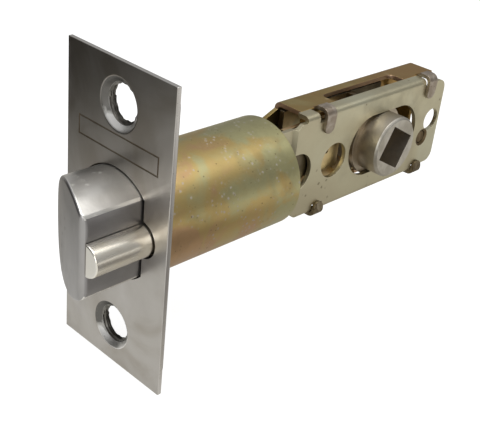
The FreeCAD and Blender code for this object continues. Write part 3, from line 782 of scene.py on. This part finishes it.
@dataclass
class FrontPlates:
    """The stainless face plate and the steel plate behind it."""

    paintbox: Paintbox
    half_width: float = 14.0
    half_height: float = 30.0
    rim_width: float = 0.5
    edge_width: float = 0.14
    backing_edge_width: float = 0.15
    near: float = 0.1
    flat_normal: float = 0.9
    cone_normal: float = 0.95
    screw_height: float = 22.2
    countersink_radius: float = 4.8
    bore_radius: float = 3.7
    bore_span: Pair = (1.05, 2.25)
    thread_turns: int = 3
    thread_segments: int = 40
    thread_depth: float = 0.42
    thread_half_width: float = 0.19
    thread_root: float = 0.05
    torn_waves: Pair = (3.7, 8.3)
    torn_share: float = 0.5
    whole_share: float = 0.7
    border_height: float = 15.0
    border_reach: float = 2.1
    border_depths: Pair = (0.02, 0.2)

    def build(self) -> None:
        """Builds both plates."""
        self.face_plate()
        self.backing_plate()

    def on_rim(self, point: Vector) -> bool:
        """Tells whether a point lies on the front rim of a countersink."""
        reach = math.hypot(point.y, abs(point.z) - self.screw_height)
        at_front = abs(point.x) < self.near / 2
        return at_front and abs(reach - self.countersink_radius) < self.near

    def face_plate(self) -> None:
        """Dresses the face plate: soft pressed rims, crisp outline."""
        finishes = [FACE_STEEL, PLATE_EDGE, GROOVE_STEEL, UPPER_CONE_PAINTED_LIGHT, LOWER_CONE_PAINTED_LIGHT]
        plate = DressedNode("face_plate", self.paintbox, finishes)
        plate.soften(self.rim_width, 4, lambda a, b: self.on_rim(a) and self.on_rim(b))
        plate.soften(self.edge_width, 2, self.on_outline)
        plate.paint(1, self.on_outer_wall)
        plate.paint(2, self.in_border)
        # Both countersink cones carry painted highlight and painted shade, with one finish for
        # each hole.
        plate.paint(3, self.on_cone)
        plate.paint(4, lambda middle, normal: self.on_cone(middle, normal) and middle.z < 0)
        plate.hand_over()

    def on_cone(self, middle: Vector, normal: Vector) -> bool:
        """Tells whether a face lies on a countersink's cone."""
        reach = math.hypot(middle.y, abs(middle.z) - self.screw_height)
        return reach < self.countersink_radius and abs(normal.x) < self.cone_normal

    def in_border(self, middle: Vector, normal: Vector) -> bool:
        """Tells whether a face lies in the stamped border line."""
        shallow, deep = self.border_depths
        in_line = abs(middle.z - self.border_height) < self.border_reach
        return in_line and shallow < middle.x < deep

    def on_outline(self, first: Vector, second: Vector) -> bool:
        """Tells whether an edge with these ends lies on the plate's outline."""
        high = max(abs(first.z), abs(second.z)) > self.half_height - self.near
        return high or min(abs(first.y), abs(second.y)) > self.half_width - self.near

    def on_outer_wall(self, middle: Vector, normal: Vector) -> bool:
        """Tells whether a face lies on the plate's outer wall or its rounded edges."""
        wide = abs(middle.y) > self.half_width - 2 * self.near
        high = abs(middle.z) > self.half_height - 2 * self.near
        return abs(normal.x) < self.flat_normal and (wide or high)

    def backing_plate(self) -> None:
        """Dresses the plate behind."""
        finishes = [BACKING_STEEL, SHADED_BORE, SHADED_THREAD_STEEL]
        plate = DressedNode("backing_plate", self.paintbox, finishes)
        plate.soften(self.backing_edge_width, 2)
        # The screw holes' walls get painted shade.
        plate.paint(1, self.in_bore)
        for height in (-self.screw_height, self.screw_height):
            self.thread(plate.shape, height)
        plate.hand_over()

    def in_bore(self, middle: Vector, normal: Vector) -> bool:
        """Tells whether a face lies on the wall of a screw hole."""
        reach = math.hypot(middle.y, abs(middle.z) - self.screw_height)
        return reach < self.bore_radius + self.near and abs(normal.x) < self.flat_normal

    def thread(self, shape: bmesh.types.BMesh, height: float) -> None:
        """Adds the ragged ridge that a screw has cut in a hole's wall.

        Args:
            shape: The backing plate's shape, which the ridge is added to.
            height: The height of the hole's axis, in millimetres.
        """
        known = set(shape.verts)
        first, last = self.bore_span
        half = self.thread_half_width
        foot = self.bore_radius + self.thread_root
        slow, fast = self.torn_waves
        profile = ((first - half, foot), (first, self.bore_radius), (first + half, foot))
        corners = [shape.verts.new(Vector((x, reach, height)) * MM) for x, reach in profile]
        end = shape.faces.new(corners)
        steps = self.thread_turns * self.thread_segments
        bmesh.ops.spin(
            shape,
            geom=[end, *end.edges, *end.verts],
            cent=Vector((0, 0, height)) * MM,
            axis=(1, 0, 0),
            dvec=(((last - first) * MM) / steps, 0, 0),
            angle=math.tau * self.thread_turns,
            steps=steps,
        )
        ridge = [vertex for vertex in shape.verts if vertex not in known]
        middle = Vector((0, 0, height)) * MM
        for vertex in ridge:
            arm = vertex.co - middle
            arm.x = 0.0
            if arm.length < (self.bore_radius + self.thread_root / 2) * MM:
                turned = math.tau * self.thread_turns * (vertex.co.x / MM - first) / (last - first)
                torn = self.torn_share * math.sin(slow * turned + height) * math.sin(fast * turned)
                bite = self.thread_depth * (self.whole_share + torn)
                vertex.co -= arm.normalized() * bite * MM
        faces = list(dict.fromkeys(face for vertex in ridge for face in vertex.link_faces))
        # The ridge gets the thread finish, which is painted shade of the hole.
        for face in faces:
            face.material_index = 2
        bmesh.ops.recalc_face_normals(shape, faces=faces)


@dataclass
class Barrel:
    """The thin tube and the plug in its rear end."""

    paintbox: Paintbox
    tube_edge_width: float = 0.16
    bush_edge_width: float = 0.12

    def build(self) -> None:
        """Builds the tube and the plug."""
        tube = DressedNode("barrel_tube", self.paintbox, [BARREL_CHROMATE])
        tube.soften(self.tube_edge_width, 3)
        tube.hand_over()
        bush = DressedNode("rear_bush", self.paintbox, [CAST_ZINC])
        bush.soften(self.bush_edge_width, 2)
        bush.hand_over()


@dataclass
class Bolts:
    """The latch bolt, the guard bolt and what moves with them."""

    paintbox: Paintbox
    radius: float = 10.5
    flat_depth: float = 7.3
    throw: float = 12.7
    slope_radius: float = 60.0
    slope_lean: float = math.radians(15.2)
    nose_round: float = 1.6
    rim_share: float = 0.35
    nose_rings: int = 7
    corner_blend: float = 1.0
    corner_from: float = 0.1
    rounding_from: float = -1.06
    rounding_over: float = 0.22
    cut_depth: float = 0.7
    cut_slack: float = 0.001
    cut_merge: float = 0.01
    cut_pitch: float = 0.7
    collar_depth: float = 0.2
    flat_normal: float = -0.93
    slope_normal: float = -0.45
    guard_end_x: float = -11.0
    guard_end_width: float = 0.3
    guard_end_normal: float = -0.8
    edge_width: float = 0.12

    def build(self) -> None:
        """Builds both bolts and gives their inner pieces a finish."""
        self.latch_bolt()
        self.guard_bolt()
        self.paintbox.coat("bolt_tail", INNER_CHROMATE)
        # The guard's tail and the retractor's upper half get painted shade. The retractor's lower
        # half keeps the chromate.
        self.paintbox.coat("guard_tail", SHADED_INNER)
        retractor = DressedNode("retractor", self.paintbox, [SHADED_INNER, INNER_CHROMATE])
        retractor.soften(self.edge_width, 2)
        retractor.paint(1, lambda middle, normal: middle.z < 0.0)
        retractor.hand_over()
        for node in ("bolt_cross_pin", "guard_rivet"):
            self.paintbox.coat(node, BACKING_STEEL)

    def latch_bolt(self) -> None:
        """Dresses the latch bolt and gives it a nose with wide soft corners."""
        bolt = DressedNode("latch_bolt", self.paintbox, [BOLT_NICKEL_PAINTED_LIGHT, BOLT_FLAT_PAINTED_SHADE, BOLT_SLOPE_PAINTED_LIGHT])
        self.nose(bolt.shape)
        # Painted shade goes on the flat side and painted light on the slope. The round top and the
        # ridge band keep the painted-light copy.
        bolt.paint(1, lambda middle, normal: normal.y < self.flat_normal)
        bolt.paint(2, lambda middle, normal: normal.x < self.slope_normal)
        bolt.hand_over()

    def outline(self, angle: float, inset: float) -> float:
        """Gives the bolt's polar radius, round at the corners between its arc and its flat.

        Args:
            angle: The angle about the bolt's axis, from +Y towards +Z.
            inset: How far inside the bolt's surface the outline runs, in millimetres.

        Returns:
            The radius in millimetres.
        """
        arc = self.radius - inset * self.rim_share
        towards_flat = -math.cos(angle)
        if towards_flat < self.corner_from:
            return arc
        flat = (self.flat_depth - inset) / towards_flat
        blend = max(self.corner_blend - abs(arc - flat), 0.0) / self.corner_blend
        return min(arc, flat) - blend * blend * self.corner_blend / 4

    def rounding(self, angle: float) -> float:
        """Gives how round the nose is at an angle: widest at the flat, small at the arc."""
        across = self.radius * math.cos(angle) / self.flat_depth
        blend = min(max((across - self.rounding_from) / self.rounding_over, 0.0), 1.0)
        return 1.0 - (1.0 - self.rim_share) * blend * blend * (3 - 2 * blend)

    def slope(self, across: float) -> float:
        """Gives the sloping face's X at a distance across the bolt, in millimetres."""
        middle_x = self.slope_radius * math.cos(self.slope_lean) - self.throw
        middle_y = -self.flat_depth - self.slope_radius * math.sin(self.slope_lean)
        return middle_x - math.sqrt(self.slope_radius**2 - (across - middle_y) ** 2)

    def nose(self, shape: bmesh.types.BMesh) -> None:
        """Cuts the bolt off at the plate and raises its nose again, ring by ring.

        Args:
            shape: The bolt's shape.
        """
        everything = shape.verts[:] + shape.edges[:] + shape.faces[:]
        bmesh.ops.bisect_plane(
            shape,
            geom=everything,
            plane_co=(self.cut_depth * MM, 0, 0),
            plane_no=(-1, 0, 0),
            clear_outer=True,
        )
        rim = [edge for edge in shape.edges if edge.is_boundary]
        cap = bmesh.ops.contextual_create(shape, geom=rim)["faces"]
        for axis in (Vector((0, 1, 0)), Vector((0, 0, 1))):
            cap = self.slice_up(shape, cap, axis)
        rings = [(0.0, None)]
        for step in range(self.nose_rings + 1):
            turn = math.radians(90.0 * step / self.nose_rings)
            inset = self.nose_round * (1 - math.cos(turn))
            rings.append((inset, self.nose_round * (1 - math.sin(turn))))
        before = 0.0
        for inset, drop in rings:
            raised = bmesh.ops.extrude_face_region(shape, geom=cap)["geom"]
            bmesh.ops.delete(shape, geom=[face for face in cap if face.is_valid], context="FACES")
            cap = [item for item in raised if isinstance(item, bmesh.types.BMFace)]
            region = set(cap)
            for vertex in [item for item in raised if isinstance(item, bmesh.types.BMVert)]:
                angle = math.atan2(vertex.co.z, vertex.co.y)
                reach = math.hypot(vertex.co.y, vertex.co.z)
                if all(face in region for face in vertex.link_faces):
                    reach *= self.outline(angle, inset) / self.outline(angle, before)
                else:
                    reach = self.outline(angle, inset) * MM
                vertex.co.y = reach * math.cos(angle)
                vertex.co.z = reach * math.sin(angle)
                if drop is None:
                    vertex.co.x = self.collar_depth * MM
                else:
                    drop_here = drop * self.rounding(angle)
                    vertex.co.x = (self.slope(vertex.co.y / MM) + drop_here) * MM
            before = inset
        bmesh.ops.recalc_face_normals(shape, faces=shape.faces[:])

    def slice_up(
        self, shape: bmesh.types.BMesh, cap: list[bmesh.types.BMFace], axis: Vector
    ) -> list[bmesh.types.BMFace]:
        """Cuts a flat cap into strips.

        Args:
            shape: The bolt's shape.
            cap: The cap's faces.
            axis: The direction across the strips.

        Returns:
            The cap's faces after the cuts.
        """
        level = self.cut_pitch / 2 - self.radius
        while level < self.radius:
            around = dict.fromkeys(edge for face in cap for edge in face.edges)
            corners = dict.fromkeys(vertex for face in cap for vertex in face.verts)
            cut = bmesh.ops.bisect_plane(
                shape,
                geom=[*cap, *around, *corners],
                dist=self.cut_merge * MM,
                plane_co=axis * level * MM,
                plane_no=axis,
            )
            made = dict.fromkeys(cut["geom"] + cut["geom_cut"])
            faces = [item for item in made if isinstance(item, bmesh.types.BMFace)]
            cap = [face for face in faces if face.is_valid and self.at_cut(face)]
            level += self.cut_pitch
        return cap

    def at_cut(self, face: bmesh.types.BMFace) -> bool:
        """Tells whether a face lies in the plane where the bolt was cut off."""
        return abs(face.calc_center_median().x / MM - self.cut_depth) < self.cut_slack

    def guard_bolt(self) -> None:
        """Dresses the guard bolt."""
        guard = DressedNode("guard_bolt", self.paintbox, [GUARD_NICKEL, GUARD_END_PAINTED_LIGHT])
        guard.soften(self.guard_end_width, 4, lambda a, b: max(a.x, b.x) < self.guard_end_x)
        guard.soften(self.edge_width, 2)
        # The end face gets the painted-light copy.
        guard.paint(1, lambda middle, normal: normal.x < self.guard_end_normal)
        guard.hand_over()


@dataclass
class Housing:
    """The channel frame, the side cover and what is riveted to them."""

    paintbox: Paintbox
    channel_edge_width: float = 0.12
    cover_edge_width: float = 0.16
    pillar_edge_width: float = 0.25
    front_edge_x: float = 49.0
    front_normal: float = -0.8
    window_span: Pair = (55.0, 80.0)
    window_height: float = 10.4
    window_normal: float = 0.5
    tab_places: Pair = (50.35, 85.95)
    tab_half_width: float = 1.45
    tab_height: float = 11.3
    tab_root_y: float = -3.0
    tab_end_y: float = -4.6
    notch_gap: float = 1.1
    notch_shift: float = 1.0
    notch_slack: float = 0.06
    notch_height: float = 8.0
    rivet_end_y: float = -4.0
    dimple_place: Pair = (86.6, -3.2)
    dimple_radius: float = 2.2
    cover_inner_y: float = -4.3
    cover_normal: float = 0.98

    def build(self) -> None:
        """Builds the housing's pieces."""
        self.channel()
        self.cover()
        pillar = DressedNode("cover_pillar", self.paintbox, [BACKING_STEEL, SHADED_RIVET_END])
        pillar.soften(self.pillar_edge_width, 3)
        # The rivet end in the dimple gets painted shade.
        pillar.paint(1, lambda middle, normal: middle.y < self.rivet_end_y)
        pillar.hand_over()
        self.paintbox.coat("lever_stud", BACKING_STEEL)

    def cut_edge(self, middle: Vector, normal: Vector) -> bool:
        """Tells whether a face of the channel is a sheared edge of the sheet."""
        front = normal.x < self.front_normal and middle.x < self.front_edge_x
        first, last = self.window_span
        beside = first < middle.x < last and abs(middle.z) > self.window_height
        return front or (beside and abs(normal.z) < self.window_normal)

    def on_tab(self, middle: Vector) -> bool:
        """Tells whether a point lies on the bent end of a crimped tab."""
        near = any(abs(middle.x - x) < self.tab_half_width + 0.1 for x in self.tab_places)
        bend = abs(middle.z) > self.tab_height and middle.y < self.tab_root_y
        return near and (bend or middle.y < self.tab_end_y)

    def channel(self) -> None:
        """Dresses the channel frame."""
        finishes = [CHANNEL_CHROMATE, CUT_EDGE, SHEARED_TAB, SHADED_TAB]
        channel = DressedNode("channel_frame", self.paintbox, finishes)
        channel.soften(self.channel_edge_width, 2)
        channel.paint(1, self.cut_edge)
        channel.paint(2, lambda middle, normal: self.on_tab(middle) and middle.z > 0)
        # The lower tabs get painted shade in place of the upper tabs' sheared finish.
        channel.paint(3, lambda middle, normal: self.on_tab(middle) and middle.z < 0)
        channel.hand_over()

    def close_notches(self, shape: bmesh.types.BMesh) -> None:
        """Brings the notches of three tabs closer to them, as the crimping leaves them.

        Args:
            shape: The cover's shape.
        """
        for place in self.tab_places:
            wall = place - self.tab_half_width - self.notch_gap
            for vertex in shape.verts:
                spot = vertex.co / MM
                on_wall = abs(spot.x - wall) < self.notch_slack and abs(spot.z) > self.notch_height
                stays_open = place == self.tab_places[0] and spot.z > 0
                if on_wall and not stays_open:
                    vertex.co.x += self.notch_shift * MM

    def cover(self) -> None:
        """Dresses the side cover."""
        cover = DressedNode("side_cover", self.paintbox, [COVER_CHROMATE, SHADED_RIVET_END])
        self.close_notches(cover.shape)
        cover.soften(self.cover_edge_width, 3)
        # The dimple's wall gets painted shade.
        cover.paint(1, self.in_dimple)
        cover.hand_over()

    def in_dimple(self, middle: Vector, normal: Vector) -> bool:
        """Tells whether a face lies on the wall of the dimple round the pillar's end."""
        reach = math.hypot(middle.x - self.dimple_place[0], middle.z - self.dimple_place[1])
        wall = middle.y < self.cover_inner_y and abs(normal.y) < self.cover_normal
        return wall and reach < self.dimple_radius


@dataclass
class Mechanism:
    """The hub, the deadlocking lever and the springs."""

    paintbox: Paintbox
    hub_edge_width: float = 0.15
    lever_edge_width: float = 0.12
    boss_face_reach: float = 8.8
    pressed_by: tuple[tuple[str, str], ...] = (
        ("bolt_spring", "bolt_slide"),
        ("guard_spring", "guard_slide"),
    )

    def build(self) -> None:
        """Builds the hub and the lever and gives the springs a finish."""
        hub = DressedNode("hub", self.paintbox, [HUB_SIDE_PAINTED_SHADE, HUB_FACE])
        hub.soften(self.hub_edge_width, 2)
        # The boss faces keep the pale nickel, and the round side carries painted shade.
        hub.paint(1, lambda middle, normal: abs(middle.y) > self.boss_face_reach)
        hub.hand_over()
        lever = DressedNode("deadlock_lever", self.paintbox, [INNER_CHROMATE])
        lever.soften(self.lever_edge_width, 2)
        lever.hand_over()
        self.paintbox.coat("lever_spring", SPRING_WIRE)
        for node, joint in self.pressed_by:
            self.pressed_spring(node)

    def pressed_spring(self, node: str) -> None:
        """Dresses a spring and gives it a mesh of its own.

        Args:
            node: The spring's CAD node.
        """
        spring = DressedNode(node, self.paintbox, [SPRING_WIRE]).hand_over()
        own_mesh(spring)


@dataclass(frozen=True)
class Softbox:
    """A rectangular lamp, with its places and size in millimetres and its power in watts."""

    name: str
    place: Triple
    target: Triple
    size: Pair
    power: float

    def hang(self) -> None:
        """Hangs the lamp."""
        data = bpy.data.lights.new(self.name, "AREA")
        data.shape = "RECTANGLE"
        data.size = self.size[0] * MM
        data.size_y = self.size[1] * MM
        data.energy = self.power
        lamp = bpy.data.objects.new(self.name, data)
        lamp.matrix_world = aim(self.place, self.target)
        bpy.context.scene.collection.objects.link(lamp)


@dataclass
class Studio:
    """Camera, lamps, world, floor and a dark card that the metal mirrors."""

    lens: float = 71.15
    camera_place: Triple = (-92.73, -113.57, 83.08)
    azimuth: float = -47.92
    elevation: float = 28.69
    roll: float = 6.20
    shift: Pair = (-0.0033, 0.0121)
    lamps: tuple[Softbox, ...] = (
        Softbox("top_softbox", (20, -60, 330), (40, 0, 0), (260, 260), 0.6),
        Softbox("front_softbox", (-240, -260, 120), (20, 0, 0), (160, 220), 0.35),
        Softbox("right_softbox", (220, -110, 280), (50, 0, 0), (180, 150), 0.07),
    )
    world_low: Colour = (0.26, 0.26, 0.26)
    world_high: Colour = (0.50, 0.50, 0.50)
    card_place: Triple = (-62, 76, 18)
    card_target: Triple = (0, 0, 12)
    card_size: Pair = (150, 80)
    card_colour: Colour = (0.03, 0.028, 0.025)
    floor_height: float = -30.0
    floor_colour: Colour = (0.88, 0.88, 0.87)
    floor_glow: Colour = (1.42, 1.42, 1.42)
    glow_share: float = 0.62
    table_near: Colour = (0.80, 0.79, 0.76)
    table_far: Colour = (0.07, 0.06, 0.045)
    table_beside: Colour = (0.20, 0.19, 0.18)
    table_under: Colour = (0.46, 0.44, 0.40)
    table_right: Colour = (0.80, 0.78, 0.75)

    def build(self) -> None:
        """Builds the camera, the world, the floor, the lamps and the card."""
        self.camera()
        self.world()
        self.floor()
        for lamp in self.lamps:
            lamp.hang()
        self.card()

    def camera(self) -> None:
        """Places the camera at the photograph's viewpoint."""
        data = bpy.data.cameras.new("camera")
        data.lens = self.lens
        data.sensor_width = 36.0
        data.shift_x, data.shift_y = self.shift
        data.clip_start = 0.005
        data.clip_end = 20.0
        camera = bpy.data.objects.new("camera", data)
        azimuth = math.radians(self.azimuth)
        elevation = math.radians(self.elevation)
        back = Vector(
            (
                math.sin(azimuth) * math.cos(elevation),
                -math.cos(azimuth) * math.cos(elevation),
                math.sin(elevation),
            )
        )
        turn = (-back).to_track_quat("-Z", "Y") @ Quaternion((0, 0, 1), math.radians(self.roll))
        camera.matrix_world = Matrix.LocRotScale(Vector(self.camera_place) * MM, turn, None)
        bpy.context.scene.collection.objects.link(camera)
        bpy.context.scene.camera = camera

    def world(self) -> None:
        """Makes the surroundings: white for the camera, grey and brighter above for the metal."""
        world = bpy.data.worlds.new("studio")
        world.use_nodes = True
        bpy.context.scene.world = world
        graph = Graph(world.node_tree)
        output = graph.add("OutputWorld")
        rays = graph.add("LightPath")
        seen = graph.add("Background")
        seen.inputs["Color"].default_value = (1.0, 1.0, 1.0, 1.0)
        around = graph.add("Background")
        direction = graph.add("SeparateXYZ")
        graph.feed(direction.inputs[0], graph.add("TexCoord").outputs["Generated"])
        upward = graph.ramp(direction.outputs["Z"], -0.1, 0.9)
        graph.feed(around.inputs["Color"], graph.mix(upward, self.world_low, self.world_high))
        both = graph.add("MixShader")
        graph.feed(both.inputs[0], rays.outputs["Is Camera Ray"])
        graph.feed(both.inputs[1], around.outputs[0])
        graph.feed(both.inputs[2], seen.outputs[0])
        graph.feed(output.inputs["Surface"], both.outputs[0])

    def floor(self) -> None:
        """Lays the pale floor under the latch."""
        shape = bmesh.new()
        bmesh.ops.create_grid(shape, x_segments=2, y_segments=2, size=1.6)
        bmesh.ops.translate(shape, verts=shape.verts[:], vec=(0, 0, self.floor_height * MM))
        floor = new_object("floor", shape)
        material = bpy.data.materials.new("pale_floor")
        material.use_nodes = True
        graph = Graph(material.node_tree)
        output = graph.add("OutputMaterial")
        rays = graph.add("LightPath")
        matt = graph.add("BsdfDiffuse")
        graph.feed(matt.inputs["Color"], self.floor_colour)
        glow = graph.add("Emission")
        mirrored = rays.outputs["Is Glossy Ray"]
        tone = graph.mix(mirrored, self.floor_glow, self.table_tone(graph))
        graph.feed(glow.inputs["Color"], tone)
        seen = graph.times(rays.outputs["Is Camera Ray"], self.glow_share)
        both = graph.add("MixShader")
        graph.feed(both.inputs[0], graph.math("ADD", seen, mirrored))
        graph.feed(both.inputs[1], matt.outputs[0])
        graph.feed(both.inputs[2], glow.outputs[0])
        graph.feed(output.inputs["Surface"], both.outputs[0])
        floor.data.materials.append(material)

    def table_tone(self, graph: Graph) -> bpy.types.NodeSocket:
        """Adds what the latch mirrors of the table: bright near it, dark far behind it.

        Args:
            graph: The floor material's graph.

        Returns:
            The colour of the mirrored floor.
        """
        place = graph.add("SeparateXYZ")
        graph.feed(place.inputs[0], graph.add("TexCoord").outputs["Object"])
        along = place.outputs["X"]
        across = place.outputs["Y"]
        behind = graph.mix(graph.ramp(across, 0.005, 0.12), self.table_near, self.table_far)
        under = graph.mix(graph.ramp(across, -0.05, -0.02), self.table_beside, self.table_under)
        left = graph.mix(graph.ramp(along, -0.005, 0.009), behind, under)
        right = graph.mix(graph.ramp(across, -0.06, -0.02), self.table_right, self.table_under)
        return graph.mix(graph.ramp(along, 0.035, 0.10), left, right)

    def card(self) -> None:
        """Stands the dark card."""
        shape = bmesh.new()
        bmesh.ops.create_grid(shape, x_segments=1, y_segments=1, size=0.5)
        wide, high = self.card_size
        bmesh.ops.scale(shape, verts=shape.verts[:], vec=(wide * MM, high * MM, 1.0))
        stand = aim(self.card_place, self.card_target)
        bmesh.ops.transform(shape, matrix=stand, verts=shape.verts[:])
        card = new_object("dark_flag", shape)
        material = bpy.data.materials.new("dark_flag")
        material.use_nodes = True
        shader = material.node_tree.nodes["Principled BSDF"]
        shader.inputs["Base Color"].default_value = (*self.card_colour, 1.0)
        card.data.materials.append(material)
        card.visible_camera = False
        card.visible_diffuse = False
        card.visible_shadow = False


def main() -> None:
    """Builds every sub-assembly and the studio."""
    logging.basicConfig(level=logging.INFO, format="%(name)s: %(message)s")
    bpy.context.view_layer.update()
    bpy.context.scene.view_settings.view_transform = "Standard"
    paintbox = Paintbox()
    for assembly in (
        FrontPlates(paintbox),
        Barrel(paintbox),
        Bolts(paintbox),
        Housing(paintbox),
        Mechanism(paintbox),
    ):
        assembly.build()
        log.info("built %s", type(assembly).__name__)
    Studio().build()


if __name__ == "__main__":
    main()
